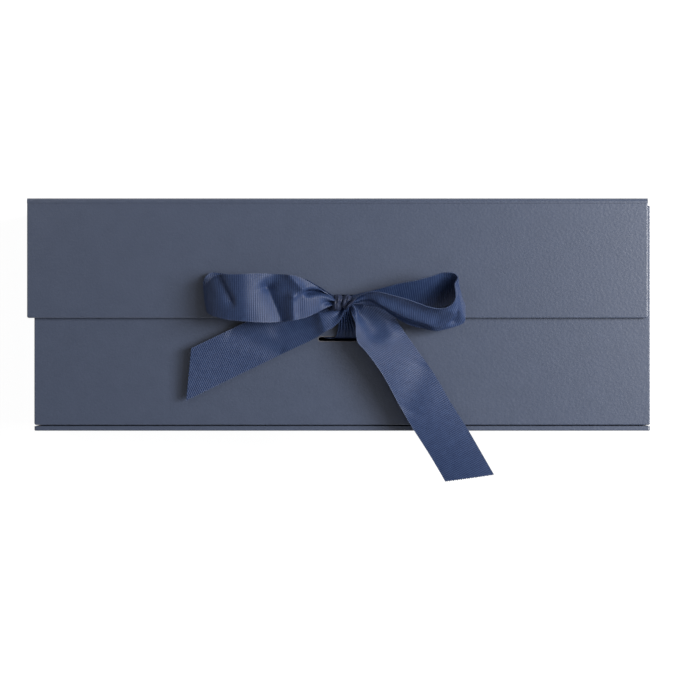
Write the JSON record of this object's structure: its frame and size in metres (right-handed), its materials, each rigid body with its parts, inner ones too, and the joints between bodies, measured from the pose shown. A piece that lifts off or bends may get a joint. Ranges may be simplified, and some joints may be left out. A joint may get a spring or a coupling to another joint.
{
  "type": "collapsible gift box",
  "caption": "Flat-folding paper-covered box with a hinged lid, a magnetic front flap, creased side walls, a locking tab and a ribbon bow tied over the flap's edge.",
  "frame": {"origin": "centre of the back panel's outer face, which the box lies on", "axes": "+X along the box to the right, +Y from the base to the lid, +Z out of the front wall"},
  "size_m": [0.339, 0.153, 0.1283],
  "materials": {
    "cover_paper": "matte laminated wrap paper, fine grain",
    "lining_paper": "uncoated lining paper",
    "greyboard": "raw solid greyboard",
    "hinge_tape": "paper hinge tape",
    "tab_card": "lined card",
    "adhesive_tape": "peel-off liner on adhesive tape",
    "ribbon": "woven ribbon with a satin sheen",
    "magnet": "nickel plated",
    "steel_disc": "zinc plated"
  },
  "bodies": {
    "back": {"back_cover": "cover_paper", "back_board": "greyboard", "back_lining": "lining_paper", "base_fold_paper": "cover_paper", "lid_fold_paper": "cover_paper", "left_rear_hinge_tape": "hinge_tape", "right_rear_hinge_tape": "hinge_tape"},
    "base": {"base_cover": "cover_paper", "base_board": "greyboard", "base_lining": "lining_paper"},
    "lid": {"lid_cover": "cover_paper", "lid_board": "greyboard", "lid_lining": "lining_paper", "flap_fold_paper": "cover_paper"},
    "flap": {"flap_cover": "cover_paper", "flap_board": "greyboard", "flap_lining": "lining_paper", "flap_magnets": "magnet", "flap_ribbon": "ribbon", "bow_knot": "ribbon", "bow_loop_left": "ribbon", "bow_loop_right": "ribbon", "bow_tail_left": "ribbon", "bow_tail_right": "ribbon", "bow_lower_strand": "ribbon"},
    "left_rear": {"left_rear_cover": "cover_paper", "left_rear_board": "greyboard", "left_rear_lining": "lining_paper", "left_crease_paper": "cover_paper"},
    "left_front": {"left_front_cover": "cover_paper", "left_front_board": "greyboard", "left_front_lining": "lining_paper", "left_front_hinge_tape": "hinge_tape"},
    "right_rear": {"right_rear_cover": "cover_paper", "right_rear_board": "greyboard", "right_rear_lining": "lining_paper", "right_crease_paper": "cover_paper"},
    "right_front": {"right_front_cover": "cover_paper", "right_front_board": "greyboard", "right_front_lining": "lining_paper", "right_front_hinge_tape": "hinge_tape"},
    "front": {"front_cover": "cover_paper", "front_board": "greyboard", "front_lining": "lining_paper", "front_steel_discs": "steel_disc", "front_ribbon": "ribbon", "tab_hinge_tape": "hinge_tape"},
    "tab": {"tab_card": "tab_card", "tab_adhesive_tape": "adhesive_tape"}
  },
  "joints": [
    {"name": "lid_hinge", "type": "hinge", "parent": "back", "child": "lid", "pos_m": [0, 0.06325, 0], "axis": [-1, 0, 0], "range_deg": [0, 90], "deforming": ["lid_fold_paper"]},
    {"name": "flap_hinge", "type": "hinge", "parent": "lid", "child": "flap", "pos_m": [0, 0.06325, 0.10365], "axis": [-1, 0, 0], "range_deg": [0, 90], "deforming": ["flap_fold_paper"]},
    {"name": "base_hinge", "type": "hinge", "parent": "back", "child": "base", "pos_m": [0, -0.06325, 0], "axis": [-1, 0, 0], "range_deg": [-90, 0], "deforming": ["base_fold_paper"]},
    {"name": "collapse", "type": "hinge", "parent": "back", "child": "left_rear", "pos_m": [-0.165, 0, 0.00315], "axis": [0, -1, 0], "range_deg": [-90, 0], "deforming": ["left_rear_hinge_tape"]},
    {"name": "left_crease", "type": "hinge", "parent": "left_rear", "child": "left_front", "pos_m": [-0.16795, 0, 0.05], "axis": [0, -1, 0], "range_deg": [0, 180], "deforming": ["left_crease_paper"]},
    {"name": "front_hinge", "type": "hinge", "parent": "left_front", "child": "front", "pos_m": [-0.165, 0, 0.09685], "axis": [0, -1, 0], "range_deg": [-90, 0], "deforming": ["left_front_hinge_tape"]},
    {"name": "right_rear_hinge", "type": "hinge", "parent": "back", "child": "right_rear", "pos_m": [0.165, 0, 0.00315], "axis": [0, 1, 0], "range_deg": [-90, 0], "deforming": ["right_rear_hinge_tape"]},
    {"name": "right_crease", "type": "hinge", "parent": "right_rear", "child": "right_front", "pos_m": [0.16795, 0, 0.05], "axis": [0, 1, 0], "range_deg": [0, 180], "deforming": ["right_crease_paper", "right_front_hinge_tape"]},
    {"name": "tab_hinge", "type": "hinge", "parent": "front", "child": "tab", "pos_m": [0, -0.0586, 0.09725], "axis": [1, 0, 0], "range_deg": [0, 90], "deforming": ["tab_hinge_tape"]}
  ],
  "couplings": [
    {"joint": "left_crease", "follows": "collapse", "ratio": -2},
    {"joint": "front_hinge", "follows": "collapse", "ratio": 1},
    {"joint": "right_rear_hinge", "follows": "collapse", "ratio": 1},
    {"joint": "right_crease", "follows": "collapse", "ratio": -2},
    {"joint": "tab_hinge", "follows": "collapse", "ratio": -1}
  ]
}
